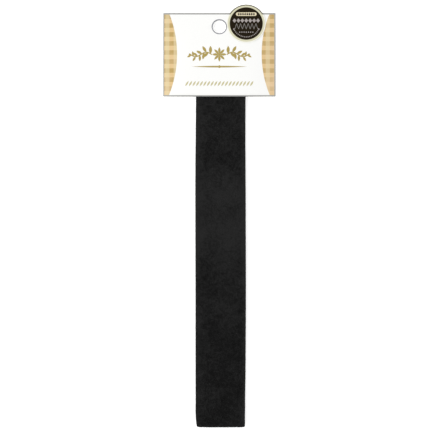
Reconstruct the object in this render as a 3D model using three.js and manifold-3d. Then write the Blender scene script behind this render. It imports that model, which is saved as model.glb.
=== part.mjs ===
// A non-slip headband: a loop of elastic with silicone grip lines inside, pressed flat,
// with its upper end held in a folded header card that hangs on a peg.
//
// Millimetres. The set lies on its back: +X is to the right, +Y runs from the band's free
// end to the card, and +Z is up, out of the front. Places along Y are counted from the
// free end, and the last lines move the origin under the middle of the whole.

import * as THREE from "three";
import { mergeVertices } from "three/addons/utils/BufferGeometryUtils.js";
import Module from "manifold-3d";

const wasm = await Module();
wasm.setup();

// Sizes of the band
const BAND_WIDTH = 29.9;
const BAND_WALL = 1.5;
const BAND_VISIBLE = 198.2; // from the free end to the card's lower edge
const BAND_BELOW_HOLE = 3.8; // from the card's hang hole down to the band's hidden end
const BAND_ASIDE = 0.7; // from the card's middle line to the band's
const FOLD_GAP = 3.4; // inside the free fold, which springs open a little
const FOLD_RUN = 15; // over which the layers come together behind that fold
const LIFT_RUN = 24; // over which the band climbs onto the card's back leaf
const SEAM_FROM_END = 152; // from the free end to the join in the back layer
const SEAM_WIDTH = 0.8;
const SEAM_DEPTH = 0.3;

// Sizes of the silicone lines on the band's inner face
const GRIP_COUNT = 3;
const GRIP_PITCH = 9;
const GRIP_WIDTH = 2.4;
const GRIP_HEIGHT = 0.35;
const GRIP_APART = 0.2; // between the lines of the two layers, which face each other

// Sizes of the header card
const CARD_WIDTH = 67.35;
const CARD_HEIGHT = 50.25; // of one leaf, from the fold to its lower edge
const CARD_STOCK = 0.45;
const CARD_FOLD_RADIUS = 0.65; // of the middle of the board
const CARD_CLEAR = 0.25; // between a leaf and the band
const CARD_SHOULDER = 4; // half the length of the bend where the front leaf meets the band
const CARD_DROOP = 1.1; // how far the front leaf's sides hang below its middle
const HOLE_DIAMETER = 8;
const HOLE_BELOW_FOLD = 8.5;

// Sizes of the round label on the front leaf
const LABEL_DIAMETER = 23.3;
const LABEL_STOCK = 0.25;
const LABEL_ASIDE = 16.1; // from the card's middle line to the label's centre
const LABEL_BELOW_FOLD = 6.55;
const LABEL_CLEAR = 0.1;

// Sizes of the two hidden glue pads between the band and the leaves
const PAD_WIDTH = 20;
const PAD_LENGTH = 14;
const PAD_ABOVE_EDGE = 9; // from the card's lower edge
const BOND_CLEAR = 0.05; // beside a glued or printed face

// The band from its free end to the card's lower edge: its width and how far it lies to
// the right, as shares of its full width, and how far the front layer stands up off the
// back one, as a share of its wall.
const OUTLINE = [
  { along: 0, width: 0.92, aside: 0.008, loft: 0 },
  { along: 0.009, width: 0.96, aside: 0.004, loft: 0 },
  { along: 0.035, width: 0.976, aside: -0.004, loft: 0 },
  { along: 0.067, width: 0.98, aside: -0.004, loft: 0.05 },
  { along: 0.16, width: 0.991, aside: 0, loft: 0.2 },
  { along: 0.4, width: 1, aside: 0.004, loft: 0.55 },
  { along: 0.61, width: 1, aside: 0.001, loft: 0.9 },
  { along: 0.75, width: 0.998, aside: -0.001, loft: 0.6 },
  { along: 0.84, width: 0.99, aside: -0.001, loft: 0.25 },
  { along: 0.93, width: 0.984, aside: 0.002, loft: 0 },
  { along: 1, width: 0.982, aside: 0.005, loft: 0 },
];

// The right half of the band's section, as shares of its half width and its wall: a flat
// middle that thins towards a softly rounded edge.
const BAND_SECTION = [
  { across: 0.5, thick: 1 },
  { across: 0.75, thick: 0.95 },
  { across: 0.94, thick: 0.78 },
  { across: 0.985, thick: 0.45 },
];

// The right half of a grip line's section, as shares of its half width and its height.
const GRIP_SECTION = [
  { across: 0.45, high: 1 },
  { across: 0.9, high: 0.6 },
  { across: 1, high: 0 },
];

// Steps of the meshes
const LAYER_STEPS = 34;
const FOLD_STEPS = 8;
const LEAF_STEPS = 26;
const CARD_COLUMNS = 18;
const LABEL_STEPS = 12;
const LABEL_SIDES = 48;
const HOLE_SIDES = 40;

// Places and heights that follow from the sizes
const LAYER_GAP = 2 * (BOND_CLEAR + GRIP_HEIGHT) + GRIP_APART;
const FOLD_LINE = BAND_VISIBLE + CARD_HEIGHT;
const HOLE_Y = FOLD_LINE - HOLE_BELOW_FOLD;
const LABEL_Y = FOLD_LINE - LABEL_BELOW_FOLD;
const OVERALL = Math.max(FOLD_LINE, LABEL_Y + LABEL_DIAMETER / 2);
const BAND_LENGTH = HOLE_Y - HOLE_DIAMETER / 2 - BAND_BELOW_HOLE;
const FREE_RADIUS = (BAND_WALL + FOLD_GAP) / 2; // of the middle of the wall at the free fold
const HELD_RADIUS = (BAND_WALL + LAYER_GAP) / 2; // and at the end inside the card
const FREE_BEND = FREE_RADIUS + BAND_WALL / 2; // from the free end to the end of its fold
const HELD_BEND = BAND_LENGTH - HELD_RADIUS - BAND_WALL / 2; // to the start of the other one
const LIFT = CARD_STOCK + CARD_CLEAR; // of the band over the back leaf
const LEAF_START = FOLD_LINE - CARD_STOCK / 2 - CARD_FOLD_RADIUS; // of the front leaf, at the fold
const LEAF_FOOT = CARD_STOCK / 2 + 2 * CARD_FOLD_RADIUS; // its middle's height there
const LEAF_TOP = LIFT + 2 * BAND_WALL + LAYER_GAP + CARD_CLEAR + CARD_STOCK / 2;
const LEAF_CORNER = HELD_BEND + CARD_SHOULDER; // where its slope would meet its flat part
const LEAF_SLOPE = (LEAF_TOP - LEAF_FOOT) / (LEAF_START - LEAF_CORNER);

const { clamp, lerp, smoothstep } = THREE.MathUtils;

// The band: one loop of elastic, folded flat at both ends

// A column of a table at a share along it, on a smooth curve through the table's rows.
function readTable(rows, column, along) {
  let i = 0;
  while (i < rows.length - 2 && along > rows[i + 1].along) i += 1;
  const slope = (k) => {
    const before = rows[Math.max(k - 1, 0)];
    const after = rows[Math.min(k + 1, rows.length - 1)];
    return (after[column] - before[column]) / (after.along - before.along);
  };
  const span = rows[i + 1].along - rows[i].along;
  const t = clamp((along - rows[i].along) / span, 0, 1);
  const rest = 1 - t;
  return (
    (1 + 2 * t) * rest * rest * rows[i][column] +
    (3 - 2 * t) * t * t * rows[i + 1][column] +
    t * rest * rest * span * slope(i) -
    t * t * rest * span * slope(i + 1)
  );
}

function evenSteps(from, to, steps) {
  return Array.from({ length: steps + 1 }, (_, i) => lerp(from, to, i / steps));
}

// Both halves of a section, from its left edge to its right one.
function wholeSection(rightHalf) {
  const leftHalf = rightHalf.map((p) => ({ ...p, across: -p.across })).reverse();
  return [...leftHalf, ...rightHalf];
}

// Height of the back layer's middle, which climbs onto the card's back leaf.
function backLayerHeight(y) {
  return BAND_WALL / 2 + LIFT * smoothstep(y, BAND_VISIBLE - LIFT_RUN, BAND_VISIBLE);
}

// Height of the front layer's middle: off the back one by the gap, its loft, and the
// spring of the free fold.
function frontLayerHeight(y) {
  const loft = readTable(OUTLINE, "loft", y / BAND_VISIBLE) * BAND_WALL;
  const sprung = 1 - smoothstep(y, FREE_BEND, FREE_BEND + FOLD_RUN);
  return backLayerHeight(y) + BAND_WALL + lerp(LAYER_GAP, FOLD_GAP, sprung) + loft;
}

// Stations round the loop, on the middle of the wall, each with the direction that faces
// out. The front layer runs up to the held end, and the back layer runs down again.
function loopStations() {
  const stations = [];
  const layer = (height, from, to, facing, extra) => {
    const shares = evenSteps(0, Math.PI, LAYER_STEPS).map((turn) => (1 - Math.cos(turn)) / 2);
    const places = [...shares.map((share) => lerp(from, to, share)), ...extra];
    places.sort((a, b) => (to > from ? a - b : b - a));
    for (const y of places) {
      const slope = (height(y + 0.5) - height(y - 0.5)) * facing;
      const length = Math.hypot(1, slope);
      stations.push({ y, z: height(y), outY: -slope / length, outZ: facing / length });
    }
  };
  const bend = (y, radius, fromTurn) => {
    for (let i = 1; i < FOLD_STEPS; i += 1) {
      const turn = fromTurn - (Math.PI * i) / FOLD_STEPS;
      stations.push({
        y: y + radius * Math.cos(turn),
        z: backLayerHeight(y) + radius + radius * Math.sin(turn),
        outY: Math.cos(turn),
        outZ: Math.sin(turn),
      });
    }
  };
  const seamEdges = [-1, -0.5, 0.5, 1].map((k) => SEAM_FROM_END + k * SEAM_WIDTH);
  layer(frontLayerHeight, FREE_BEND, HELD_BEND, 1, []);
  bend(HELD_BEND, HELD_RADIUS, Math.PI / 2);
  layer(backLayerHeight, HELD_BEND, FREE_BEND, -1, seamEdges);
  bend(FREE_BEND, FREE_RADIUS, -Math.PI / 2);
  return stations;
}

// A point of the loop: across the band, and out from the middle of its wall.
function loopPoint(station, across, out) {
  return new THREE.Vector3(
    across,
    station.y + station.outY * out,
    station.z + station.outZ * out,
  );
}

// A closed surface over rings of points. The rings form a loop, and each ring is closed.
function skinLoop(rings) {
  const size = rings[0].length;
  const index = [];
  rings.forEach((_, i) => {
    const next = (i + 1) % rings.length;
    for (let j = 0; j < size; j += 1) {
      const a = i * size + j;
      const b = i * size + ((j + 1) % size);
      const c = next * size + ((j + 1) % size);
      const d = next * size + j;
      index.push(a, b, c, a, c, d);
    }
  });
  const geometry = new THREE.BufferGeometry().setFromPoints(rings.flat());
  geometry.setIndex(index);
  return geometry;
}

// How far the outer face is sunk at a station, along the join across the back layer.
function seamDepth(station) {
  const away = Math.abs(station.y - SEAM_FROM_END) / SEAM_WIDTH;
  return station.outZ < 0 ? SEAM_DEPTH * (1 - smoothstep(away, 0.5, 1)) : 0;
}

function bandGeometry() {
  const section = wholeSection(BAND_SECTION);
  const rings = loopStations().map((station) => {
    const along = clamp(station.y / BAND_VISIBLE, 0, 1);
    const half = (readTable(OUTLINE, "width", along) * BAND_WIDTH) / 2;
    const middle = BAND_ASIDE + readTable(OUTLINE, "aside", along) * BAND_WIDTH;
    const at = (across, out) => loopPoint(station, middle + across * half, out);
    const sunk = seamDepth(station);
    const outer = section.map((p) => at(p.across, (p.thick * BAND_WALL) / 2 - sunk));
    const inner = section.map((p) => at(p.across, (-p.thick * BAND_WALL) / 2)).reverse();
    return [at(-1, 0), ...outer, at(1, 0), ...inner];
  });
  return skinLoop(rings);
}

// The grip lines: silicone printed on the inner face, right round the loop

function gripGeometry(number) {
  const middle = BAND_ASIDE + (number - (GRIP_COUNT - 1) / 2) * GRIP_PITCH;
  const foot = -(BAND_WALL / 2 + BOND_CLEAR);
  const section = wholeSection(GRIP_SECTION).reverse();
  const rings = loopStations().map((station) =>
    section.map((p) =>
      loopPoint(station, middle + (p.across * GRIP_WIDTH) / 2, foot - p.high * GRIP_HEIGHT),
    ),
  );
  return skinLoop(rings);
}

// The header card: one sheet of board, folded over the band's upper end, with a hole
// punched through both leaves

// How much of the bend at the shoulder lies above a place on the front leaf: 0 on the
// slope that comes down to the fold, 1 on the flat part over the band.
function shoulderTurn(y) {
  return clamp((LEAF_CORNER + CARD_SHOULDER - y) / (2 * CARD_SHOULDER), 0, 1);
}

// Height of the middle of the board over the front leaf's middle line. The slope runs on
// past the fold, where only the label's edge stands.
function frontLeafHeight(y) {
  const flat = shoulderTurn(y);
  const bend = LEAF_SLOPE * CARD_SHOULDER * (1 - flat) * (1 - flat);
  const straight = LEAF_SLOPE * Math.max(0, y - LEAF_CORNER - CARD_SHOULDER);
  return LEAF_TOP - bend - straight;
}

// How far the front leaf hangs at a place beside the band: nothing at the fold.
function frontLeafDroop(x, y) {
  const bandSide = BAND_ASIDE + BAND_WIDTH / 2;
  const beyond = Math.max(0, Math.abs(x) - bandSide) / (CARD_WIDTH / 2 - bandSide);
  const below = smoothstep(LEAF_START - y, 0, LEAF_START - LEAF_CORNER + CARD_SHOULDER);
  return CARD_DROOP * beyond * beyond * below;
}

// A point of the front leaf, out from the middle of the board.
function frontLeafPoint(x, y, out) {
  const slope = -LEAF_SLOPE * (1 - shoulderTurn(y));
  const length = Math.hypot(1, slope);
  return new THREE.Vector3(
    x,
    y - (slope / length) * out,
    frontLeafHeight(y) - frontLeafDroop(x, y) + out / length,
  );
}

// A point of the fold or of the back leaf, out from the middle of the board. The fold is
// half a turn, and the back leaf is flat.
function backLeafPoint(x, y, turn, out) {
  const radius = CARD_FOLD_RADIUS + out;
  return new THREE.Vector3(
    x,
    y + radius * Math.sin(turn),
    CARD_STOCK / 2 + CARD_FOLD_RADIUS + radius * Math.cos(turn),
  );
}

// A sheet of even thickness, closed all round. place(x, row, side) gives the point of a
// column and a row on its outer face, side 1, or its inner face, side -1.
function slab(columns, rows, place) {
  const points = [];
  for (const side of [1, -1]) {
    for (const row of rows) {
      for (const x of columns) points.push(place(x, row, side));
    }
  }
  const wide = columns.length;
  const inner = wide * rows.length;
  const index = [];
  const quad = (a, b, c, d) => index.push(a, b, c, a, c, d);
  for (let i = 0; i < rows.length - 1; i += 1) {
    const here = i * wide;
    const next = here + wide;
    for (let j = 0; j < wide - 1; j += 1) {
      quad(here + j, here + j + 1, next + j + 1, next + j);
      quad(inner + here + j, inner + next + j, inner + next + j + 1, inner + here + j + 1);
    }
    quad(here, next, inner + next, inner + here);
    quad(next - 1, inner + next - 1, inner + next + wide - 1, next + wide - 1);
  }
  const last = wide * (rows.length - 1);
  for (let j = 0; j < wide - 1; j += 1) {
    quad(j, inner + j, inner + j + 1, j + 1);
    quad(last + j, last + j + 1, inner + last + j + 1, inner + last + j);
  }
  const geometry = new THREE.BufferGeometry().setFromPoints(points);
  geometry.setIndex(index);
  return geometry;
}

function toSolid(geometry) {
  const bare = geometry.clone();
  bare.deleteAttribute("normal");
  bare.deleteAttribute("uv");
  const merged = mergeVertices(bare);
  return new wasm.Manifold(
    new wasm.Mesh({
      numProp: 3,
      vertProperties: merged.getAttribute("position").array,
      triVerts: new Uint32Array(merged.getIndex().array),
    }),
  );
}

function toGeometry(solid) {
  const mesh = solid.getMesh();
  const geometry = new THREE.BufferGeometry();
  geometry.setAttribute("position", new THREE.BufferAttribute(mesh.vertProperties, 3));
  geometry.setIndex(new THREE.BufferAttribute(mesh.triVerts, 1));
  return geometry;
}

// An upright round cutter that reaches right through the card and its label.
function uprightCutter(diameter, sides, x, y) {
  const tall = 4 * LEAF_TOP;
  const cutter = new THREE.CylinderGeometry(diameter / 2, diameter / 2, tall, sides);
  cutter.rotateX(Math.PI / 2);
  cutter.translate(x, y, 0);
  return toSolid(cutter);
}

function cardGeometry() {
  const front = evenSteps(BAND_VISIBLE, LEAF_START, LEAF_STEPS).slice(0, -1);
  const turns = evenSteps(0, Math.PI, FOLD_STEPS);
  const rows = [
    ...front.map((y) => ({ y, inFront: true })),
    ...turns.map((turn) => ({ y: LEAF_START, turn })),
    { y: BAND_VISIBLE, turn: Math.PI },
  ];
  const columns = evenSteps(-CARD_WIDTH / 2, CARD_WIDTH / 2, CARD_COLUMNS);
  const sheet = slab(columns, rows, (x, row, side) => {
    const out = (side * CARD_STOCK) / 2;
    return row.inFront
      ? frontLeafPoint(x, row.y, out)
      : backLeafPoint(x, row.y, row.turn, out);
  });
  const hole = uprightCutter(HOLE_DIAMETER, HOLE_SIDES, 0, HOLE_Y);
  return toGeometry(toSolid(sheet).subtract(hole));
}

// The round label: a disc of paper on the front leaf, which stands over the card's fold

function labelGeometry() {
  const reach = LABEL_DIAMETER / 2 + LABEL_STOCK;
  const columns = evenSteps(LABEL_ASIDE - reach, LABEL_ASIDE + reach, LABEL_STEPS);
  const rows = evenSteps(LABEL_Y - reach, LABEL_Y + reach, LABEL_STEPS);
  const foot = CARD_STOCK / 2 + LABEL_CLEAR;
  const patch = slab(columns, rows, (x, y, side) =>
    frontLeafPoint(x, y, side > 0 ? foot + LABEL_STOCK : foot),
  );
  const round = uprightCutter(LABEL_DIAMETER, LABEL_SIDES, LABEL_ASIDE, LABEL_Y);
  return toGeometry(toSolid(patch).intersect(round));
}

// The glue pads: one thin plain pad on each side of the band, inside the card

function padGeometry() {
  return new THREE.BoxGeometry(PAD_WIDTH, PAD_LENGTH, CARD_CLEAR - 2 * BOND_CLEAR);
}

// Materials and assembly

function material(color, roughness) {
  return new THREE.MeshStandardMaterial({ color, roughness, metalness: 0 });
}

const elastic = material(0x1f1f1f, 0.9);
const silicone = material(0xd9dcdb, 0.35);
const board = material(0xfbfbf9, 0.6);
const labelPaper = material(0x1b1a18, 0.4);
const glue = material(0xe9dfc4, 0.5);

function piece(name, geometry, itsMaterial) {
  geometry.computeVertexNormals();
  const mesh = new THREE.Mesh(geometry, itsMaterial);
  mesh.name = name;
  return mesh;
}

const headband = new THREE.Group();
headband.add(piece("elastic_band", bandGeometry(), elastic));
for (let i = 0; i < GRIP_COUNT; i += 1) {
  headband.add(piece(`grip_line_${i + 1}`, gripGeometry(i), silicone));
}

const card = new THREE.Group();
card.add(piece("header_card", cardGeometry(), board));
card.add(piece("round_label", labelGeometry(), labelPaper));
const pads = [
  { name: "glue_pad_front", z: LEAF_TOP - (CARD_STOCK + CARD_CLEAR) / 2 },
  { name: "glue_pad_back", z: CARD_STOCK + CARD_CLEAR / 2 },
];
for (const { name, z } of pads) {
  const pad = piece(name, padGeometry(), glue);
  pad.position.set(BAND_ASIDE, BAND_VISIBLE + PAD_ABOVE_EDGE + PAD_LENGTH / 2, z);
  card.add(pad);
}

const set = new THREE.Group();
set.add(headband, card);
set.position.y = -OVERALL / 2;

export default set;
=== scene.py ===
import math

import bmesh
import bpy
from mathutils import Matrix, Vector
from mathutils.bvhtree import BVHTree


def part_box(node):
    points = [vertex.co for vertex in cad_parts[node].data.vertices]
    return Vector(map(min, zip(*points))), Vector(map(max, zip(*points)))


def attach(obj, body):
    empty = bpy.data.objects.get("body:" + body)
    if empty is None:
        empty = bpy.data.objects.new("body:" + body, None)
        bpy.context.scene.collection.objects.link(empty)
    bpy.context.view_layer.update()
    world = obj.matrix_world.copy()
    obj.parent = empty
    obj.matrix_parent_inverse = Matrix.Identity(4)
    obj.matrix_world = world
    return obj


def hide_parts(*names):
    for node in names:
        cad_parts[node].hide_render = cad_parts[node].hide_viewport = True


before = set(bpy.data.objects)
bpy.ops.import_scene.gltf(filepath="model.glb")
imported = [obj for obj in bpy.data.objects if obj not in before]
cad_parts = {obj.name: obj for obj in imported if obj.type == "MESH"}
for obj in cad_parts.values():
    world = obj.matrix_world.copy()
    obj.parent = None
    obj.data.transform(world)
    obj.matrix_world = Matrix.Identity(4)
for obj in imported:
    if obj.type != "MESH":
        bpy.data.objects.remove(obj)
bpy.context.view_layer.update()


# The elastic band
# One strip of black velour elastic, a brushed knit with fine ribs along its inner face. Its
# ends are sewn edge to edge into a ring, which the card holds pressed flat.

MM = 0.001
BAND_WALL = 1.5 * MM
BAND_ROWS = 40  # of the mesh, from edge to edge
BAND_STEP = 0.9 * MM  # between the mesh's steps round the loop
BAND_EDGE_POWER = 20  # higher is a squarer edge
EVEN_ROWS = 0.6  # how evenly rows are spaced across; less crowds them at the edges
FACET_ROUNDING = 3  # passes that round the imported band's facets
EDGE_PILE = 0.15 * MM  # that wraps each edge and stands past it
FOLD_FLARE = 0.25 * MM  # of the strip's edges where it turns back
SEAM_FROM_FOLD = 152 * MM
SEAM_PINCH = 0.3 * MM
SEAM_REACH = 1.4 * MM
SURFACE_WAVE = 0.25 * MM
WAVE_REACH = 11 * MM  # from one wave of the cloth to the next
INNER_RIB = 1.6 * MM  # from one rib of the inner face to the next
RIB_SHARE = 0.3  # of the relief; the rest follows the tone
GROUND_RELIEF = 0.15 * MM
VELOUR_PATCHES = {0.2 * MM: 1.6, 0.65 * MM: 1.5, 1.6 * MM: 0.95, 8 * MM: 1.3}  # size: how much it varies
# painted light along the band: its tone is darker at the fold and lighter towards the card
SHADED_TONE_AT_FOLD = 0.2
LIT_TONE_AT_CARD = 0.52
HIGHLIGHT_FROM_FOLD = 124 * MM  # the middle of the painted broad highlight, a stretch of lighter tone
HIGHLIGHT_REACH = 42 * MM
HIGHLIGHT_CORE = 5 * MM  # the highlight's lightest part, either way from its middle
HIGHLIGHT_TONE = 0.45
EDGE_SHEEN_TONES = ((-0.55, -1.0, 0.4), (0.8, 1.0, 0.6))  # painted sheen along each edge: from, to, in half widths, and the tone added
CAD_JOIN = 0.001 * MM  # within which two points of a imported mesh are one
PIECE_JOIN = 0.0005 * MM
PIECE_SHARP = math.radians(60)  # the least turn at an edge that is shaded sharp


def cad_copy(node):
    """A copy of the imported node's mesh as a bmesh, with its loose triangles joined up."""
    bm = bmesh.new()
    bm.from_mesh(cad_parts[node].data)
    bmesh.ops.remove_doubles(bm, verts=bm.verts, dist=CAD_JOIN)
    return bm


def cad_surface(node):
    """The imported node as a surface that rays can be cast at."""
    bm = cad_copy(node)
    surface = BVHTree.FromBMesh(bm)
    bm.free()
    return surface


def length_round(loop):
    return sum((b - a).length for a, b in zip(loop, loop[1:] + loop[:1]))


def outer_outline(node, x):
    """The longest closed line where the node is cut across at x, as points in order."""
    bm = cad_copy(node)
    everything = bm.verts[:] + bm.edges[:] + bm.faces[:]
    bmesh.ops.bisect_plane(
        bm, geom=everything, plane_co=(x, 0, 0), plane_no=(1, 0, 0), clear_inner=True, clear_outer=True
    )
    loops = []
    waiting = set(bm.verts)
    while waiting:
        vert = min(waiting, key=lambda v: (v.co.y, v.co.z))
        waiting.remove(vert)
        loop = [vert.co.copy()]
        while vert:
            ahead = [edge.other_vert(vert) for edge in vert.link_edges]
            vert = next((v for v in ahead if v in waiting), None)
            if vert:
                waiting.remove(vert)
                loop.append(vert.co.copy())
        loops.append(loop)
    bm.free()
    return max(loops, key=length_round)


def even_steps(loop, step):
    """The closed line again, in equal steps of about the given length."""
    count = round(length_round(loop) / step)
    stride = length_round(loop) / count
    points = []
    walked = 0.0
    for a, b in zip(loop, loop[1:] + loop[:1]):
        length = (b - a).length
        while len(points) < count and len(points) * stride <= walked + length:
            points.append(a.lerp(b, (len(points) * stride - walked) / length))
        walked += length
    return points


def rounded(points):
    """The closed line with each point drawn to its two neighbours, once for each pass."""
    for _ in range(FACET_ROUNDING):
        before = points[-1:] + points[:-1]
        after = points[1:] + points[:1]
        points = [(a + 2 * p + b) / 4 for a, p, b in zip(before, points, after)]
    return points


def linear(hex_code):
    """An sRGB hex colour as a linear one with alpha."""
    shares = [int(hex_code[i : i + 2], 16) / 255 for i in (1, 3, 5)]
    return (*[c / 12.92 if c <= 0.04045 else ((c + 0.055) / 1.055) ** 2.4 for c in shares], 1)


def feed(node, inputs):
    """Sets a node's inputs, in order or by name, from values, sockets or other nodes, of
    which the first output in use is taken."""
    in_use = [socket for socket in node.inputs if socket.enabled]
    by_name = {socket.name: socket for socket in reversed(in_use)}
    for key, value in inputs.items() if isinstance(inputs, dict) else enumerate(inputs):
        socket = in_use[key] if isinstance(key, int) else by_name[key]
        if isinstance(value, bpy.types.Node):
            value = next(output for output in value.outputs if output.enabled)
        if isinstance(value, bpy.types.NodeSocket):
            node.id_data.links.new(value, socket)
        else:
            socket.default_value = value


def add_node(tree, kind, inputs=(), **settings):
    """Adds a node with its settings and feeds its inputs."""
    node = tree.nodes.new(kind)
    for name, value in settings.items():
        setattr(node, name, value)
    feed(node, inputs)
    return node


def open_tree(name, sockets):
    """A geometry tree with the named inputs after its Geometry, and its Group Input."""
    tree = bpy.data.node_groups.new(name, "GeometryNodeTree")
    tree.is_modifier = True
    for way in ("OUTPUT", "INPUT"):
        tree.interface.new_socket("Geometry", in_out=way, socket_type="NodeSocketGeometry")
    for socket, kind in sockets.items():
        tree.interface.new_socket(socket, in_out="INPUT", socket_type="NodeSocket" + kind)
    return tree, add_node(tree, "NodeGroupInput").outputs


def close_tree(tree, geometry, material):
    realized = add_node(tree, "GeometryNodeRealizeInstances", (geometry,))
    finished = add_node(tree, "GeometryNodeSetMaterial", {"Geometry": realized, "Material": material})
    add_node(tree, "NodeGroupOutput", (finished,))


def new_piece(name, mesh):
    piece = bpy.data.objects.new(name, mesh)
    bpy.context.scene.collection.objects.link(piece)
    return piece


def grow(name, start, tree, **values):
    """Runs a tree on a mesh and gives the result as a plain piece. Spaces in the names of
    the tree's inputs are written as underscores."""
    source = new_piece(name + "_start", start)
    modifier = source.modifiers.new("tree", "NODES")
    modifier.node_group = tree
    for item in tree.interface.items_tree:
        if item.in_out == "INPUT" and item.name.replace(" ", "_") in values:
            modifier[item.identifier] = values[item.name.replace(" ", "_")]
    ready = source.evaluated_get(bpy.context.evaluated_depsgraph_get())
    mesh = bpy.data.meshes.new_from_object(ready)
    mesh.name = name
    bpy.data.objects.remove(source)
    return new_piece(name, mesh)


def faced_out(piece):
    """Turns every face of a closed piece outwards and shades it smooth between sharp edges."""
    bm = bmesh.new()
    bm.from_mesh(piece.data)
    bmesh.ops.remove_doubles(bm, verts=bm.verts, dist=PIECE_JOIN)
    bmesh.ops.recalc_face_normals(bm, faces=bm.faces)
    for face in bm.faces:
        face.smooth = True
    bm.to_mesh(piece.data)
    bm.free()
    piece.data.set_sharp_from_angle(angle=PIECE_SHARP)


def new_material(name, **values):
    """A material, its node tree and its Principled shader, with plain values set on it."""
    material = bpy.data.materials.new(name)
    material.use_nodes = True
    shader = material.node_tree.nodes["Principled BSDF"]
    for socket, value in values.items():
        shader.inputs[socket.replace("_", " ")].default_value = value
    return material, material.node_tree, shader


def mesh_with(name, verts, edges, attributes):
    """A mesh of points and edges whose points carry the named numbers or vectors."""
    mesh = bpy.data.meshes.new(name)
    mesh.from_pydata(verts, edges, [])
    for attribute, values in attributes.items():
        if isinstance(values[0], Vector):
            layer = mesh.attributes.new(attribute, "FLOAT_VECTOR", "POINT")
            layer.data.foreach_set("vector", [c for value in values for c in value])
        else:
            layer = mesh.attributes.new(attribute, "FLOAT", "POINT")
            layer.data.foreach_set("value", values)
    return mesh


def loop_path(name, steps):
    """A closed line for a strip round the loop, from the middle, outward direction, half
    width and pinch of its section at each step."""
    middles, outwards, half_widths, pinches = zip(*steps)
    edges = [(i, (i + 1) % len(steps)) for i in range(len(steps))]
    carried = {"middle": middles, "outward": outwards, "half_width": half_widths, "pinch": pinches}
    return mesh_with(name, middles, edges, carried)


def flat_section(name, rows, edge_power):
    """The outline of a strip's section with round edges, in halves of its width and wall."""
    across = []
    for i in range(2 * rows):
        share = 1 - 2 * min(i, 2 * rows - i) / rows
        across.append(EVEN_ROWS * share + (1 - EVEN_ROWS) * math.sin(share * math.pi / 2))
    thick = [math.sqrt(1 - abs(a) ** edge_power) * (1 if i < rows else -1) for i, a in enumerate(across)]
    edges = [(i, (i + 1) % (2 * rows)) for i in range(2 * rows)]
    verts = [(a, t, 0) for a, t in zip(across, thick)]
    return new_piece(name, mesh_with(name, verts, edges, {"across": across, "thick": thick}))


strip_tree, given = open_tree(
    "strip_round_loop",
    {"Section": "Object", "Wall": "Float", "Wave": "Float", "Material": "Material"},
)
rail = add_node(strip_tree, "GeometryNodeMeshToCurve", (given["Geometry"],))
section = add_node(strip_tree, "GeometryNodeObjectInfo", (given["Section"],)).outputs["Geometry"]
section = add_node(strip_tree, "GeometryNodeMeshToCurve", (section,))
swept = add_node(strip_tree, "GeometryNodeCurveToMesh", {"Curve": rail, "Profile Curve": section})
kinds = dict.fromkeys(("across", "thick", "half_width", "pinch"), "FLOAT")
kinds.update(dict.fromkeys(("middle", "outward"), "FLOAT_VECTOR"))
carried = {
    name: add_node(strip_tree, "GeometryNodeInputNamedAttribute", (name,), data_type=kind)
    for name, kind in kinds.items()
}
aside = (carried["across"], carried["half_width"])
aside = add_node(strip_tree, "ShaderNodeMath", aside, operation="MULTIPLY")
aside = add_node(strip_tree, "ShaderNodeCombineXYZ", (aside,))
spot = add_node(strip_tree, "ShaderNodeVectorMath", (carried["middle"], aside), operation="ADD")
ripple = {"Vector": spot, "Scale": 1 / WAVE_REACH, "Roughness": 0.6}
ripple = add_node(strip_tree, "ShaderNodeTexNoise", ripple)
ripple = add_node(strip_tree, "ShaderNodeMath", (ripple, 0.5), operation="SUBTRACT")
ripple = add_node(strip_tree, "ShaderNodeMath", (ripple, given["Wave"]), operation="MULTIPLY")
half_wall = add_node(strip_tree, "ShaderNodeMath", (given["Wall"], 0.5), operation="MULTIPLY")
raised = (carried["thick"], half_wall, ripple)
raised = add_node(strip_tree, "ShaderNodeMath", raised, operation="MULTIPLY_ADD")
on_outside = add_node(strip_tree, "ShaderNodeMath", (carried["thick"], 0.0), operation="MAXIMUM")
pinched = add_node(strip_tree, "ShaderNodeMath", (on_outside, carried["pinch"]), operation="MULTIPLY")
raised = add_node(strip_tree, "ShaderNodeMath", (raised, pinched), operation="SUBTRACT")
spot = (carried["outward"], raised, spot)
spot = add_node(strip_tree, "ShaderNodeVectorMath", spot, operation="MULTIPLY_ADD")
shaped = add_node(strip_tree, "GeometryNodeSetPosition", {"Geometry": swept, "Position": spot})
close_tree(strip_tree, shaped, given["Material"])


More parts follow.
